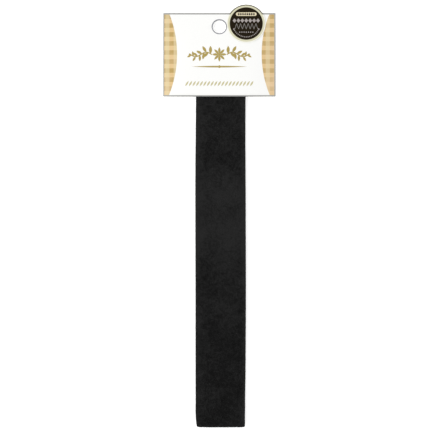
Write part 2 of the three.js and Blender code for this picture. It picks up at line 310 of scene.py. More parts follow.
def velour_tone_and_light(tree):
    """The velour's tone, from 0, flat and dark, to 1, open and grey. It varies in flecks, tufts and clouds
    where the pile stands more or less open, and carries painted light: darker towards the fold and lighter
    towards the card, a painted broad highlight about the band's middle, and a painted sheen along the
    band's edges."""
    place = add_node(tree, "ShaderNodeTexCoord").outputs["Object"]
    tone = -sum(VELOUR_PATCHES.values()) / 2
    for size, share in VELOUR_PATCHES.items():
        noise = {"Vector": place, "Scale": 1 / (2 * size)}
        noise = add_node(tree, "ShaderNodeTexNoise", noise)
        tone = add_node(tree, "ShaderNodeMath", (noise, share, tone), operation="MULTIPLY_ADD")
    down = add_node(tree, "ShaderNodeSeparateXYZ", (place,)).outputs["Y"]
    # painted light: the tone rises from the fold towards the card
    rise = {"Value": down, "From Min": band_low.y, "From Max": band_high.y}
    rise.update({"To Min": SHADED_TONE_AT_FOLD, "To Max": LIT_TONE_AT_CARD})
    rise = add_node(tree, "ShaderNodeMapRange", rise)
    tone = add_node(tree, "ShaderNodeMath", (tone, rise), operation="ADD")
    # painted highlight: a broad lighter stretch of tone about the band's middle
    away = add_node(tree, "ShaderNodeMath", (down, band_low.y + HIGHLIGHT_FROM_FOLD), operation="SUBTRACT")
    away = add_node(tree, "ShaderNodeMath", (away,), operation="ABSOLUTE")
    painted_highlight = {"Value": away, "From Min": HIGHLIGHT_REACH, "From Max": HIGHLIGHT_CORE, "To Max": HIGHLIGHT_TONE}
    painted_highlight = add_node(tree, "ShaderNodeMapRange", painted_highlight, interpolation_type="SMOOTHSTEP")
    tone = add_node(tree, "ShaderNodeMath", (tone, painted_highlight), operation="ADD")
    across = add_node(tree, "ShaderNodeAttribute", attribute_name="across").outputs["Fac"]
    # painted sheen: the tone lightens along the band's edges
    for inner, outer, added in EDGE_SHEEN_TONES:
        edge = {"Value": across, "From Min": inner, "From Max": outer, "To Max": added}
        edge = add_node(tree, "ShaderNodeMapRange", edge)
        tone = add_node(tree, "ShaderNodeMath", (tone, edge), operation="ADD")
    return add_node(tree, "ShaderNodeClamp", (tone,))


band_low, band_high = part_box("elastic_band")
band_middle = (band_low.x + band_high.x) / 2
outline = rounded(even_steps(outer_outline("elastic_band", band_middle), BAND_STEP))
if sum(a.y * b.z - b.y * a.z for a, b in zip(outline, outline[1:] + outline[:1])) < 0:
    outline.reverse()

band_surface = cad_surface("elastic_band")
band_steps = []
for before, here, after in zip(outline[-1:] + outline[:-1], outline, outline[1:] + outline[:1]):
    ahead = (after - before).normalized()
    outward = Vector((0, ahead.z, -ahead.y))
    middle = here - outward * BAND_WALL / 2
    right = band_surface.ray_cast(middle, Vector((1, 0, 0)))[0]
    left = band_surface.ray_cast(middle, Vector((-1, 0, 0)))[0]
    middle.x = (right.x + left.x) / 2
    from_seam = abs(middle.y - band_low.y - SEAM_FROM_FOLD) if outward.z < 0 else SEAM_REACH
    pinch = SEAM_PINCH * max(0, 1 - from_seam / SEAM_REACH)
    half_width = (right.x - left.x) / 2 + EDGE_PILE + FOLD_FLARE * abs(outward.y)
    band_steps.append((middle, outward, half_width, pinch))

# Velour elastic's knitted ground: nylon and elastane, dull and near black, with ribs that show as fine
# lines on the inner face. Its colour, and the ribs' relief, follow the velour's tone with its painted
# light.
ground, tree, shader = new_material("velour_elastic_ground", Roughness=0.95, Specular_IOR_Level=0.1)
tone = velour_tone_and_light(tree)
# the mix runs from the darkest tone to the lightest, painted light included
closed, opened = linear("#0d0d0d"), linear("#242424")
colour = add_node(tree, "ShaderNodeMix", {"Factor": tone, "A": closed, "B": opened}, data_type="RGBA")
across = add_node(tree, "ShaderNodeAttribute", attribute_name="across").outputs["Fac"]
ribs_across = math.pi * (band_high.x - band_low.x) / INNER_RIB
rib = add_node(tree, "ShaderNodeMath", (across, ribs_across), operation="MULTIPLY")
rib = add_node(tree, "ShaderNodeMath", (rib,), operation="SINE")
rib = add_node(tree, "ShaderNodeMath", (rib, RIB_SHARE, tone), operation="MULTIPLY_ADD")
bump = add_node(tree, "ShaderNodeBump", {"Strength": 0.5, "Distance": GROUND_RELIEF, "Height": rib})
feed(shader, {"Base Color": colour, "Normal": bump})

band_section = flat_section("band_section", BAND_ROWS, BAND_EDGE_POWER)
band = grow(
    "velour_band",
    loop_path("band_path", band_steps),
    strip_tree,
    Section=band_section,
    Wall=BAND_WALL - SURFACE_WAVE / 2,
    Wave=SURFACE_WAVE,
    Material=ground,
)
bpy.data.objects.remove(band_section)
faced_out(band)
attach(band, "root")
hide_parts("elastic_band")


# The brushed pile
# The velour's face: short nylon pile, raised from the knit by brushing. It lies over in
# small patches, each its own way, and stands out past the band's edges. The side that the
# band shows and the side that it lies on are two pieces.

PILE_LENGTH = 0.42 * MM
PILE_WIDTH = 0.34 * MM  # of a lock of several hairs, coarser than the real ones so that it shows
PILE_SUNK = 0.14 * MM  # of each lock's foot in the ground
PILE_PER_SQUARE_MM = 5.2
PATCH_REACH = 7 * MM  # from one patch of pile to the next
PATCH_LEAN = 2.2  # how far it can lie over, against 1 upright
LOCK_LEAN = 0.6
LOCK_SIZES = (0.75, 1.2)
LOCK_TONE = 0.12  # either way from its patch's tone
EDGE_MARGIN = 0.02  # past the wall's middle, so that the pile wraps the band's edges
LEAN_SEED = 3
SIZE_SEED = 5
TONE_SEED = 7
PILES = (("velour_pile_shown", 1.0, 11), ("velour_pile_under", -1.0, 12))  # name, facing, seed

sizes = ("Density", "Facing", "Lock Length", "Lock Width", "Sunk", "Patch Lean", "Lock Lean")
sizes = dict.fromkeys(sizes, "Float")
pile_tree, given = open_tree("brushed_pile", {**sizes, "Seed": "Int", "Material": "Material"})
thick = add_node(pile_tree, "GeometryNodeInputNamedAttribute", ("thick",))
on_outside = add_node(pile_tree, "ShaderNodeMath", (thick, -EDGE_MARGIN), operation="GREATER_THAN")
upwards = add_node(pile_tree, "GeometryNodeInputNormal")
upwards = add_node(pile_tree, "ShaderNodeSeparateXYZ", (upwards,)).outputs["Z"]
upwards = add_node(pile_tree, "ShaderNodeMath", (upwards, given["Facing"]), operation="MULTIPLY")
on_side = add_node(pile_tree, "ShaderNodeMath", (upwards, 0.0), operation="GREATER_THAN")
chosen = add_node(pile_tree, "ShaderNodeMath", (on_outside, on_side), operation="MULTIPLY")
scattered = {"Mesh": given["Geometry"], "Selection": chosen, "Density": given["Density"]}
scattered = add_node(
    pile_tree, "GeometryNodeDistributePointsOnFaces", {**scattered, "Seed": given["Seed"]}
)
position = add_node(pile_tree, "GeometryNodeInputPosition")
patch = {"Vector": position, "Scale": 1 / PATCH_REACH}
patch = add_node(pile_tree, "ShaderNodeTexNoise", patch).outputs["Color"]
patch = add_node(pile_tree, "ShaderNodeVectorMath", (patch, (0.5, 0.5, 0.5)), operation="SUBTRACT")
single = {"Min": (-1, -1, -1), "Max": (1, 1, 1), "Seed": LEAN_SEED}
single = add_node(pile_tree, "FunctionNodeRandomValue", single, data_type="FLOAT_VECTOR")
leaned = (patch, given["Patch Lean"], scattered.outputs["Normal"])
leaned = add_node(pile_tree, "ShaderNodeVectorMath", leaned, operation="MULTIPLY_ADD")
leaned = (single, given["Lock Lean"], leaned)
leaned = add_node(pile_tree, "ShaderNodeVectorMath", leaned, operation="MULTIPLY_ADD")
turned = add_node(pile_tree, "FunctionNodeAlignRotationToVector", {"Vector": leaned}, axis="Z")
lock_radius = add_node(pile_tree, "ShaderNodeMath", (given["Lock Width"], 0.5), operation="MULTIPLY")
lock = {"Vertices": 3, "Radius Top": 0.0, "Radius Bottom": lock_radius, "Depth": given["Lock Length"]}
lock = add_node(pile_tree, "GeometryNodeMeshCone", lock)
foot = add_node(pile_tree, "ShaderNodeMath", (given["Sunk"], -1.0), operation="MULTIPLY")
foot = add_node(pile_tree, "ShaderNodeCombineXYZ", {"Z": foot})
lock = add_node(pile_tree, "GeometryNodeSetPosition", {"Geometry": lock, "Offset": foot})
size = {"Min": LOCK_SIZES[0], "Max": LOCK_SIZES[1], "Seed": SIZE_SEED}
size = add_node(pile_tree, "FunctionNodeRandomValue", size)
locks = {"Points": scattered, "Instance": lock, "Rotation": turned, "Scale": size}
locks = add_node(pile_tree, "GeometryNodeInstanceOnPoints", locks)
tones = add_node(pile_tree, "FunctionNodeRandomValue", {"Seed": TONE_SEED})
locks = {"Geometry": locks, "Name": "lock_tone", "Value": tones}
locks = add_node(pile_tree, "GeometryNodeStoreNamedAttribute", locks, domain="INSTANCE")
close_tree(pile_tree, locks, given["Material"])

# Brushed nylon pile: matt black that greys a little where it stands open, so the face looks soft and
# faintly cloudy. Its colour also carries painted light: darker towards the fold, a painted broad highlight
# about the band's middle, and a painted sheen along its edges, over the shader's own sheen.
pile_hair, tree, shader = new_material(
    "brushed_black_pile", Roughness=0.9, Specular_IOR_Level=0.1, Sheen_Weight=0.08, Sheen_Roughness=0.5
)
lock_tone = add_node(tree, "ShaderNodeAttribute", attribute_name="lock_tone").outputs["Fac"]
lock_tone = {"Value": lock_tone, "To Min": -LOCK_TONE, "To Max": LOCK_TONE}
lock_tone = add_node(tree, "ShaderNodeMapRange", lock_tone)
tone = add_node(tree, "ShaderNodeMath", (velour_tone_and_light(tree), lock_tone), operation="ADD", use_clamp=True)
# the mix runs from the darkest tone to the lightest, painted light included
closed, opened = linear("#0d0d0d"), linear("#2a2a2a")
colour = add_node(tree, "ShaderNodeMix", {"Factor": tone, "A": closed, "B": opened}, data_type="RGBA")
feed(shader, {"Base Color": colour})

piles = [
    grow(
        name,
        band.data,
        pile_tree,
        Density=PILE_PER_SQUARE_MM / MM**2,
        Facing=facing,
        Lock_Length=PILE_LENGTH,
        Lock_Width=PILE_WIDTH,
        Sunk=PILE_SUNK,
        Patch_Lean=PATCH_LEAN,
        Lock_Lean=LOCK_LEAN,
        Seed=seed,
        Material=pile_hair,
    )
    for name, facing, seed in PILES
]
for pile in piles:
    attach(pile, "root")


# The seam
# Overlock stitches of black polyester thread across the join, sunk in the pinch that they
# pull in the cloth. The join lies at the back, under the band.

STITCH_PITCH = 1.3 * MM
STITCH_LENGTH = 2.6 * MM
STITCH_LEAN = math.radians(24)
STITCH_DIP = 0.5  # of the thread's thickness, at both ends of a stitch
STITCH_SUNK = 0.25  # of the thread's thickness, all along
THREAD = 0.35 * MM
THREAD_SIDES = 6
THREAD_STEPS = 5  # along a stitch
THREAD_TWIST = 0.5 * MM
SEAM_FROM_EDGE = 1.2 * MM

seam_y = band_low.y + SEAM_FROM_FOLD
back_steps = [step for step in band_steps if step[1].z < 0]
seam_middle, _, seam_half_width, seam_pinch = min(back_steps, key=lambda step: abs(step[0].y - seam_y))
seam_z = seam_middle.z - BAND_WALL / 2 + seam_pinch - THREAD * STITCH_SUNK

stitch_count = 1 + round(2 * (seam_half_width - SEAM_FROM_EDGE) / STITCH_PITCH)
stitches = [
    (seam_middle.x + (i - (stitch_count - 1) / 2) * STITCH_PITCH, seam_y, seam_z)
    for i in range(stitch_count)
]
leans = [STITCH_LEAN * (-1) ** i for i in range(stitch_count)]

stitch_tree, given = open_tree(
    "stitches_across_seam",
    {"Length": "Float", "Thread": "Float", "Sides": "Int", "Material": "Material"},
)
radius = add_node(stitch_tree, "ShaderNodeMath", (given["Thread"], 0.5), operation="MULTIPLY")
thread = {"Vertices": given["Sides"], "Side Segments": THREAD_STEPS, "Radius": radius}
thread = add_node(stitch_tree, "GeometryNodeMeshCylinder", {**thread, "Depth": given["Length"]})
along = add_node(stitch_tree, "GeometryNodeInputPosition")
along = add_node(stitch_tree, "ShaderNodeSeparateXYZ", (along,)).outputs["Z"]
along = add_node(stitch_tree, "ShaderNodeMath", (along, given["Length"]), operation="DIVIDE")
rise = add_node(stitch_tree, "ShaderNodeMath", (along, along), operation="MULTIPLY")
rise = add_node(stitch_tree, "ShaderNodeMath", (rise, given["Thread"]), operation="MULTIPLY")
rise = add_node(stitch_tree, "ShaderNodeMath", (rise, -4 * STITCH_DIP), operation="MULTIPLY")
rise = add_node(stitch_tree, "ShaderNodeCombineXYZ", {"Y": rise})
thread = add_node(stitch_tree, "GeometryNodeSetPosition", {"Geometry": thread, "Offset": rise})
lean = add_node(stitch_tree, "GeometryNodeInputNamedAttribute", ("lean",))
lean = add_node(stitch_tree, "ShaderNodeCombineXYZ", {"X": math.pi / 2, "Z": lean})
lean = add_node(stitch_tree, "FunctionNodeEulerToRotation", (lean,))
points = add_node(stitch_tree, "GeometryNodeMeshToPoints", (given["Geometry"],))
threads = {"Points": points, "Instance": thread, "Rotation": lean}
threads = add_node(stitch_tree, "GeometryNodeInstanceOnPoints", threads)
close_tree(stitch_tree, threads, given["Material"])

# Spun polyester thread: twisted, slightly smoother than the pile, so the stitches show as a
# row of faint glints.
thread_black, tree, shader = new_material("black_sewing_thread", Roughness=0.6, Specular_IOR_Level=0.35)
place = add_node(tree, "ShaderNodeTexCoord").outputs["Object"]
twist = {"Vector": place, "Scale": 1 / THREAD_TWIST, "Distortion": 1.0}
twist = add_node(tree, "ShaderNodeTexWave", twist).outputs["Fac"]
twist = {"Factor": twist, "A": linear("#141414"), "B": linear("#2a2a2a")}
feed(shader, {"Base Color": add_node(tree, "ShaderNodeMix", twist, data_type="RGBA")})

seam = grow(
    "seam_stitches",
    mesh_with("stitch_points", stitches, [], {"lean": leans}),
    stitch_tree,
    Length=STITCH_LENGTH,
    Thread=THREAD,
    Sides=THREAD_SIDES,
    Material=thread_black,
)
faced_out(seam)
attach(seam, "root")


# The grip lines
# Three raised lines of clear silicone on the band's inner face, right round the loop. They
# are printed on the strip while it is flat, and cured.

GRIP_COUNT = 3
GRIP_WIDTH = 2.4 * MM
GRIP_HEIGHT = 0.35 * MM
GRIP_SUNK = 0.15 * MM  # of its foot in the ground, so that it bridges the cloth's waves
GRIP_ROWS = 8
GRIP_EDGE_POWER = 2.4


def mottled(tree, size, first, second):
    """A colour that wanders between two near ones, in soft patches of about a given size."""
    place = add_node(tree, "ShaderNodeTexCoord").outputs["Object"]
    cloud = add_node(tree, "ShaderNodeTexNoise", {"Vector": place, "Scale": 1 / size, "Detail": 3.0})
    mix = {"Factor": cloud, "A": linear(first), "B": linear(second)}
    return add_node(tree, "ShaderNodeMix", mix, data_type="RGBA")


def mottled_material(name, size, first, second, **values):
    material, tree, shader = new_material(name, **values)
    feed(shader, {"Base Color": mottled(tree, size, first, second)})
    return material


# Cured silicone rubber: smooth and slightly milky, with a soft shine.
silicone = mottled_material(
    "cured_clear_silicone",
    2.4 * MM,
    "#c9cdcc",
    "#e4e7e6",
    Roughness=0.3,
    IOR=1.41,
    Subsurface_Weight=0.2,
    Subsurface_Scale=0.4 * MM,
)

grip_section = flat_section("grip_section", GRIP_ROWS, GRIP_EDGE_POWER)
for number in range(1, GRIP_COUNT + 1):
    node = f"grip_line_{number}"
    low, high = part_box(node)
    aside = Vector(((low.x + high.x) / 2 - band_middle, 0, 0))
    inward = (BAND_WALL + GRIP_HEIGHT - GRIP_SUNK) / 2
    steps = [
        (middle + aside - outward * inward, outward, GRIP_WIDTH / 2, 0.0)
        for middle, outward, _, _ in band_steps
    ]
    grip = grow(
        f"silicone_line_{number}",
        loop_path(node + "_path", steps),
        strip_tree,
        Section=grip_section,
        Wall=GRIP_HEIGHT + GRIP_SUNK,
        Wave=0.0,
        Material=silicone,
    )
    faced_out(grip)
    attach(grip, "root")
    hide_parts(node)
bpy.data.objects.remove(grip_section)


# The glue pads
# Two pads of clear hot-melt glue that hold the elastic's hidden end between the card's
# leaves. Nothing of them shows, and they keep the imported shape.

# Hot-melt glue: set in a smooth skin, yellowish and a little cloudy.
glue = mottled_material(
    "hot_melt_glue", 6 * MM, "#efe6cd", "#e2d5b4", Roughness=0.35, IOR=1.48, Transmission_Weight=0.3
)
for node in ("glue_pad_front", "glue_pad_back"):
    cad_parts[node].data.materials.clear()
    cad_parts[node].data.materials.append(glue)


# The header card
# One sheet of white coated board, folded at its top over the band and punched through both leaves. Outside
# it is printed with a gingham panel down each side, and has a fine grey line of painted shade along its
# edges, wider over the fold, and round the hole. Inside, and at its cut edges, it is bare.

BOARD = 0.45 * MM
FOLD_RADIUS = 0.65 * MM
CUT_ROUNDING = 0.06 * MM
CUT_TURN = math.radians(60)  # of the board's surface at a cut edge, at least
SHARP_TURN = math.radians(25)
# widths of the grey lines of painted shade along the card's edges and round its hole
EDGE_SHADE_LINE = 0.76 * MM
FOLD_SHADE_LINE = 1.05 * MM  # the painted edge shade where it runs on over the fold
HOLE_SHADE_LINE = 0.62 * MM
HOLE_RADIUS = 4 * MM
HOLE_BELOW_FOLD = 8.5 * MM
PANEL_WIDEST = 8.4 * MM
PANEL_RADIUS = 64.6 * MM  # of the arc that bounds a panel
PANEL_RAISED = 0.2 * MM  # the arc's centre, above the card's middle
CHECK_DOWN = 5.4 * MM
CHECK_ACROSS = 5 * MM
CHECK_FROM_SIDE = 5.1 * MM  # of the middle of one dark column
CHECK_BELOW_FOLD = 24 * MM  # of the middle of one dark row
CHECK_FADE = (3.5, -5.0, 0)  # how the checks pale to the right and downwards, for each metre
CHECK_PALENESS = 0.55  # at the frame's middle
CHECK_WEAR = 10 * MM  # the size of the patches in which the checks pale
CHECK_WEAR_NOISE = (0.45, 0.95)  # from where the noise pales them to where it does most
FIBRE_SIZE = 1 * MM
FIBRE_RELIEF = 0.02 * MM
FACES_OUT = 0.5  # how squarely a face looks away from the fold's line to be printed
INK_EDGE = 0.1 * MM  # over which an ink fades out


def print_over(tree, paper, ink, measure, limit, beyond=False):
    """Prints an ink over what is there, where a measure is under its limit, or over it."""
    soft = -INK_EDGE / 2 if beyond else INK_EDGE / 2
    share = {"Value": measure, "From Min": limit + soft, "From Max": limit - soft}
    share = add_node(tree, "ShaderNodeMapRange", share)
    return add_node(tree, "ShaderNodeMix", {"Factor": share, "A": paper, "B": ink}, data_type="RGBA")


def from_point(tree, place, x, y):
    """How far each spot is from an upright axis."""
    flat = add_node(tree, "ShaderNodeVectorMath", (place, (1, 1, 0)), operation="MULTIPLY")
    return add_node(tree, "ShaderNodeVectorMath", (flat, (x, y, 0)), operation="DISTANCE").outputs["Value"]


def dark_stripe(tree, along, centre, pitch):
    """1 on stripes half a pitch wide, one of them about the centre, and 0 between them."""
    away = add_node(tree, "ShaderNodeMath", (along, centre), operation="SUBTRACT")
    away = add_node(tree, "ShaderNodeMath", (away, pitch / 2), operation="PINGPONG")
    limits = {"From Min": pitch / 4 + INK_EDGE, "From Max": pitch / 4 - INK_EDGE}
    return add_node(tree, "ShaderNodeMapRange", {"Value": away, **limits})


def piece_of(bm, name, *materials):
    """A bmesh, now finished, as a piece with its materials."""
    mesh = bpy.data.meshes.new(name)
    bm.to_mesh(mesh)
    bm.free()
    for material in materials:
        mesh.materials.append(material)
    return new_piece(name, mesh)


card_low, card_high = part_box("header_card")

# Coated board, offset printed: bright white and faintly smooth, with flat inks.
printed, tree, shader = new_material("coated_printed_board", Roughness=0.5, Specular_IOR_Level=0.3)
place = add_node(tree, "ShaderNodeTexCoord").outputs["Object"]
spread = add_node(tree, "ShaderNodeSeparateXYZ", (place,)).outputs
columns = dark_stripe(tree, spread["X"], card_low.x + CHECK_FROM_SIDE, CHECK_ACROSS)
rows = dark_stripe(tree, spread["Y"], card_high.y - CHECK_BELOW_FOLD, CHECK_DOWN)
between_rows = {"Factor": columns, "A": linear("#ddca9c"), "B": linear("#ddbe88")}
between_rows = add_node(tree, "ShaderNodeMix", between_rows, data_type="RGBA")
in_rows = {"Factor": columns, "A": linear("#d0bc8d"), "B": linear("#ba9d5e")}
in_rows = add_node(tree, "ShaderNodeMix", in_rows, data_type="RGBA")
gingham = {"Factor": rows, "A": between_rows, "B": in_rows}
gingham = add_node(tree, "ShaderNodeMix", gingham, data_type="RGBA")
fade = add_node(tree, "ShaderNodeTexNoise", {"Vector": place, "Scale": 1 / CHECK_WEAR, "Detail": 3.0})
fade = {"Value": fade, "From Min": CHECK_WEAR_NOISE[0], "From Max": CHECK_WEAR_NOISE[1]}
fade = add_node(tree, "ShaderNodeMapRange", fade)
paler = add_node(tree, "ShaderNodeVectorMath", (place, CHECK_FADE), operation="DOT_PRODUCT")
paler = add_node(tree, "ShaderNodeMath", (paler.outputs["Value"], CHECK_PALENESS), operation="ADD")
fade = add_node(tree, "ShaderNodeMath", (fade, paler), operation="ADD", use_clamp=True)
gingham = {"Factor": fade, "A": gingham, "B": linear("#e8cba6")}
gingham = add_node(tree, "ShaderNodeMix", gingham, data_type="RGBA")

face = mottled(tree, 1 * MM, "#f7f7f5", "#f4f4f2")
arc_x = card_high.x - PANEL_WIDEST + PANEL_RADIUS
arc_y = (card_low.y + card_high.y) / 2 + PANEL_RAISED
for side in (-1, 1):
    face = print_over(tree, face, gingham, from_point(tree, place, side * arc_x, arc_y), PANEL_RADIUS)
from_side = add_node(tree, "ShaderNodeMath", (spread["X"],), operation="ABSOLUTE")
from_side = add_node(tree, "ShaderNodeMath", (card_high.x, from_side), operation="SUBTRACT")
from_top = add_node(tree, "ShaderNodeMath", (card_high.y, spread["Y"]), operation="SUBTRACT")
from_foot = add_node(tree, "ShaderNodeMath", (spread["Y"], card_low.y), operation="SUBTRACT")
# painted shade: grey lines along the card's edges, wider over the fold
for from_edge, line in ((from_side, EDGE_SHADE_LINE), (from_top, FOLD_SHADE_LINE), (from_foot, EDGE_SHADE_LINE)):
    face = print_over(tree, face, linear("#a5a5a2"), from_edge, line)
# painted shade: a grey ring round the hole
from_hole = from_point(tree, place, 0, card_high.y - HOLE_BELOW_FOLD)
face = print_over(tree, face, linear("#8d8e94"), from_hole, HOLE_RADIUS + HOLE_SHADE_LINE)
fibre = add_node(tree, "ShaderNodeTexNoise", {"Vector": place, "Scale": 1 / FIBRE_SIZE, "Detail": 3.0})
fibre = add_node(tree, "ShaderNodeBump", {"Strength": 0.15, "Distance": FIBRE_RELIEF, "Height": fibre})
feed(shader, {"Base Color": face, "Normal": fibre})

# The board's bare back and cut edges: uncoated pulp, duller and a little warmer.
bare = mottled_material(
    "bare_pulp_board", 0.6 * MM, "#f0efeb", "#e2e0d9", Roughness=0.85, Specular_IOR_Level=0.3
)

bm = cad_copy("header_card")
bm.normal_update()
fold_line = Vector((0, card_high.y - BOARD / 2 - FOLD_RADIUS, BOARD / 2 + FOLD_RADIUS))
for face in bm.faces:
    away = face.calc_center_median() - fold_line
    away = Vector((0, max(away.y, 0), away.z)).normalized()
    face.material_index = 0 if face.normal.dot(away) > FACES_OUT else 1
    face.smooth = True
cut_edges = [edge for edge in bm.edges if edge.calc_face_angle() > CUT_TURN]
bmesh.ops.bevel(bm, geom=cut_edges, offset=CUT_ROUNDING, segments=2, profile=0.5, affect="EDGES")
card = piece_of(bm, "folded_card", printed, bare)
card.data.set_sharp_from_angle(angle=SHARP_TURN)
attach(card, "root")
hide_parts("header_card")


# The card's gold print
# A plain ornament in gold ink: a rosette between two leafy vines, over a tapered rule, with
# a row of pale slanting leaves lower down.

INK_FILM = 0.03 * MM
INK_SUNK = 0.01 * MM
INK_PATCH = 1.6 * MM
FILM_GROWTH = 0.02  # from each motif to the next, so that crossing ones don't share a plane
BLUNT_TIP = 0.03  # the least height of a motif, as a share of its greatest
PRINT_DROP = 50 * MM  # the height from which a motif falls on to its leaf
ORNAMENT_Y = card_high.y - 25.2 * MM
ROSETTE_PETALS = 8
ROSETTE_PETAL = (3.9 * MM, 1.45 * MM)
ROSETTE_SPREAD = 0.6  # of a petal's length, from the rosette's middle to the petal's
ROSETTE_DOT = 1.5 * MM
VINE_START = 4.6 * MM
VINE_END = 17.4 * MM
VINE_SWING = 1.3 * MM  # of the stem, above and below the ornament's line
VINE_STEM = 0.65 * MM
VINE_STEM_OVERLAP = 1.3
VINE_JOINTS = 18
VINE_LEAVES = 10
VINE_LEAF = (4.7 * MM, 1.9 * MM)
VINE_LEAF_SHRINK = 0.45  # by the vine's end
VINE_DOT = 1.2 * MM
VINE_DOT_PAST = 0.3 * MM  # the vine's end
RULE_Y = card_high.y - 32.5 * MM
RULE_SIZE = (33 * MM, 1.0 * MM)
RULE_DOT = 1.6 * MM
STEM_FILM = 1.2 * INK_FILM
DOT_FILM = 1.5 * INK_FILM
PALE_ROW_Y = card_high.y - 42.6 * MM
PALE_ROW_COUNT = 19
PALE_ROW_PITCH = 2.15 * MM
PALE_LEAF = (3.6 * MM, 1.05 * MM)
LEAF_LEAN = math.radians(58)  # from the stem, or from the row


def flat_motif(name, steps, half_height):
    """A thin closed plate, two units long and one deep, whose half height at each step
    along it is given by a function of -1 to 1."""
    bm = bmesh.new()
    rungs = []
    for i in range(steps + 1):
        x = -math.cos(math.pi * i / steps)
        y = max(half_height(x), BLUNT_TIP)
        rungs.append([bm.verts.new((x, side * y, z)) for z in (0, 1) for side in (-1, 1)])
    for (a, b, c, d), (e, f, g, h) in zip(rungs, rungs[1:]):
        for corners in ((c, g, h, d), (a, b, f, e), (a, e, g, c), (b, d, h, f)):
            bm.faces.new(corners)
    for a, b, c, d in (rungs[0], rungs[-1]):
        bm.faces.new((a, c, d, b))
    bmesh.ops.recalc_face_normals(bm, faces=bm.faces)
    return piece_of(bm, name)


print_tree, given = open_tree(
    "print_on_leaf",
    {"Motif": "Object", "Leaf": "Object", "Film": "Float", "Sunk": "Float", "Material": "Material"},
)
motif = add_node(print_tree, "GeometryNodeObjectInfo", (given["Motif"],)).outputs["Geometry"]
leaf = add_node(print_tree, "GeometryNodeObjectInfo", (given["Leaf"],)).outputs["Geometry"]
carried = {
    name: add_node(print_tree, "GeometryNodeInputNamedAttribute", (name,))
    for name in ("turn", "half_length", "half_height")
}
number = add_node(print_tree, "GeometryNodeInputIndex")
stacked = add_node(print_tree, "ShaderNodeMath", (number, FILM_GROWTH, 1.0), operation="MULTIPLY_ADD")
stacked = add_node(print_tree, "ShaderNodeMath", (stacked, given["Film"]), operation="MULTIPLY")
scale = (carried["half_length"], carried["half_height"], stacked)
scale = add_node(print_tree, "ShaderNodeCombineXYZ", scale)
turn = add_node(print_tree, "ShaderNodeCombineXYZ", {"Z": carried["turn"]})
turn = add_node(print_tree, "FunctionNodeEulerToRotation", (turn,))
points = add_node(print_tree, "GeometryNodeMeshToPoints", (given["Geometry"],))
motifs = {"Points": points, "Instance": motif, "Rotation": turn, "Scale": scale}
motifs = add_node(print_tree, "GeometryNodeInstanceOnPoints", motifs)
motifs = add_node(print_tree, "GeometryNodeRealizeInstances", (motifs,))
position = add_node(print_tree, "GeometryNodeInputPosition")
above = add_node(print_tree, "ShaderNodeVectorMath", (position, (0, 0, PRINT_DROP)), operation="ADD")
struck = {"Target Geometry": leaf, "Source Position": above, "Ray Direction": (0, 0, -1)}
struck = add_node(print_tree, "GeometryNodeRaycast", struck)
struck = add_node(print_tree, "ShaderNodeSeparateXYZ", (struck.outputs["Hit Position"],)).outputs["Z"]
drop = add_node(print_tree, "ShaderNodeMath", (struck, given["Sunk"]), operation="SUBTRACT")
drop = add_node(print_tree, "ShaderNodeCombineXYZ", {"Z": drop})
draped = add_node(print_tree, "GeometryNodeSetPosition", {"Geometry": motifs, "Offset": drop})
close_tree(print_tree, draped, given["Material"])


def print_motifs(name, places, outline, leaf, ink, film=INK_FILM):
    """One pass of print on a leaf: a motif at each (x, y, turn, length, height)."""
    verts = [(*place[:2], 0) for place in places]
    carried = {
        "turn": [place[2] for place in places],
        "half_length": [place[3] / 2 for place in places],
        "half_height": [place[4] / 2 for place in places],
    }
    motif = flat_motif(name + "_motif", *outline)
    start = mesh_with(name + "_points", verts, [], carried)
    piece = grow(name, start, print_tree, Motif=motif, Leaf=leaf, Film=film, Sunk=INK_SUNK, Material=ink)
    bpy.data.objects.remove(motif)
    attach(piece, "root")


def in_row(x, y, count, pitch, turn, size):
    """The places of like motifs in a level row about a point."""
    return [(x + (i - (count - 1) / 2) * pitch, y, turn, *size) for i in range(count)]


PETAL = (8, lambda x: 1 - x * x)
DOT = (8, lambda x: math.sqrt(max(1 - x * x, 0)))
BAR = (1, lambda x: 1)
RULE = (24, lambda x: 1 - x * x)

# Gold offset ink: a brownish yellow without shine, a little uneven on the board.
gold_ink = mottled_material(
    "gold_offset_ink", INK_PATCH, "#a3914c", "#b09a58", Roughness=0.5, Specular_IOR_Level=0.3
)

# Pale gold ink: a light tint of the gold, so thin that the board greys it.
pale_ink = mottled_material(
    "pale_gold_ink", INK_PATCH, "#bfb78c", "#ccc59f", Roughness=0.5, Specular_IOR_Level=0.3
)


def vine_at(share):
    """A point of the right vine's stem and the way it runs, at a share of its length."""
    x = VINE_START + share * (VINE_END - VINE_START)
    y = VINE_SWING * math.sin(2 * math.pi * share)
    slope = VINE_SWING * 2 * math.pi * math.cos(2 * math.pi * share) / (VINE_END - VINE_START)
    return x, ORNAMENT_Y + y, math.atan(slope)


leaves = []
for i in range(ROSETTE_PETALS):
    turn = 2 * math.pi * i / ROSETTE_PETALS
    reach = ROSETTE_SPREAD * ROSETTE_PETAL[0]
    leaves.append((reach * math.cos(turn), ORNAMENT_Y + reach * math.sin(turn), turn, *ROSETTE_PETAL))
stems = []
for side in (-1, 1):
    for i in range(VINE_LEAVES):
        x, y, run = vine_at((i + 0.5) / VINE_LEAVES)
        size = 1 - VINE_LEAF_SHRINK * i / VINE_LEAVES
        length, width = (size * measure for measure in VINE_LEAF)
        turn = run + LEAF_LEAN * (-1) ** i
        x += length / 2 * math.cos(turn)
        y += length / 2 * math.sin(turn)
        leaves.append((side * x, y, side * turn, length, width))
    for i in range(VINE_JOINTS):
        x, y, run = vine_at((i + 0.5) / VINE_JOINTS)
        length = VINE_STEM_OVERLAP * (VINE_END - VINE_START) / VINE_JOINTS / math.cos(run)
        stems.append((side * x, y, side * run, length, VINE_STEM))
print_motifs("gold_leaves", leaves, PETAL, card, gold_ink)
